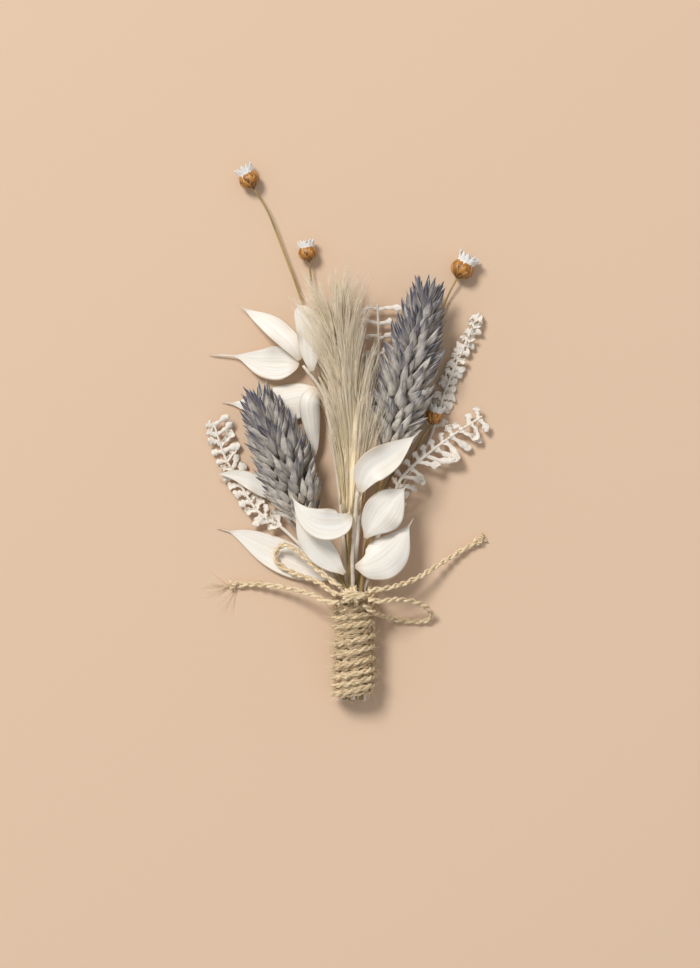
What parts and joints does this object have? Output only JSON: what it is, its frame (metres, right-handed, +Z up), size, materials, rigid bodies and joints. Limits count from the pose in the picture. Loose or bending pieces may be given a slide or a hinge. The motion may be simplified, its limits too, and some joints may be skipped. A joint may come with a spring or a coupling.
{
  "type": "dried flower boutonniere",
  "caption": "Dried flower boutonniere, a lapel spray of bleached leaves, fern fronds, grass heads and button flowers on a twine-wrapped handle with a small bow, lying flat.",
  "frame": {"origin": "middle of the bounding box on the surface the spray lies on, leaving out the bow's free twine", "axes": "+X to the right and +Y from the handle's cut ends to the flower tips, as seen from above; +Z up from the surface"},
  "size_m": [0.077, 0.1468, 0.0202],
  "materials": {
    "jute": "two-ply natural jute twine, hairy and matt",
    "ivory_leaf": "bleached ruscus leaf, ivory white, smooth with fine parallel veins",
    "fern": "bleached fern frond, cream, papery and curled",
    "phalaris": "slate blue dyed canary grass, grey-beige low on each husk with violet tips",
    "plume": "fine plume grass, golden beige below and silvery above",
    "straw_stem": "dry straw stem, olive tan",
    "bract": "glossy golden brown papery bracts",
    "petal": "white papery petals"
  },
  "bodies": {
    "root": {"bow_knot": "jute", "bow_loop_left": "jute", "bow_loop_right": "jute", "bow_tail_left": "jute", "bow_tail_right": "jute", "button_a_bracts": "bract", "button_a_petals": "petal", "button_a_stem": "straw_stem", "button_b_bracts": "bract", "button_b_petals": "petal", "button_b_stem": "straw_stem", "button_c_bracts": "bract", "button_c_petals": "petal", "button_c_stem": "straw_stem", "button_d_bracts": "bract", "button_d_petals": "petal", "button_d_stem": "straw_stem", "fern_left": "fern", "fern_right": "fern", "fern_top": "fern", "fern_upper_right": "fern", "phalaris_left_head": "phalaris", "phalaris_left_stem": "straw_stem", "phalaris_right_head": "phalaris", "phalaris_right_stem": "straw_stem", "plume_head": "plume", "plume_stem": "straw_stem", "ruscus_back_leaf_1": "ivory_leaf", "ruscus_back_leaf_2": "ivory_leaf", "ruscus_back_leaf_3": "ivory_leaf", "ruscus_back_leaf_4": "ivory_leaf", "ruscus_back_leaf_5": "ivory_leaf", "ruscus_back_leaf_6": "ivory_leaf", "ruscus_back_stem": "ivory_leaf", "ruscus_front_leaf_1": "ivory_leaf", "ruscus_front_leaf_2": "ivory_leaf", "ruscus_front_leaf_3": "ivory_leaf", "ruscus_front_leaf_4": "ivory_leaf", "ruscus_front_leaf_5": "ivory_leaf", "ruscus_front_stem": "ivory_leaf", "ruscus_low_leaf_1": "ivory_leaf", "ruscus_low_leaf_2": "ivory_leaf", "ruscus_low_stem": "ivory_leaf", "twine_wrap": "jute"}
  },
  "joints": []
}
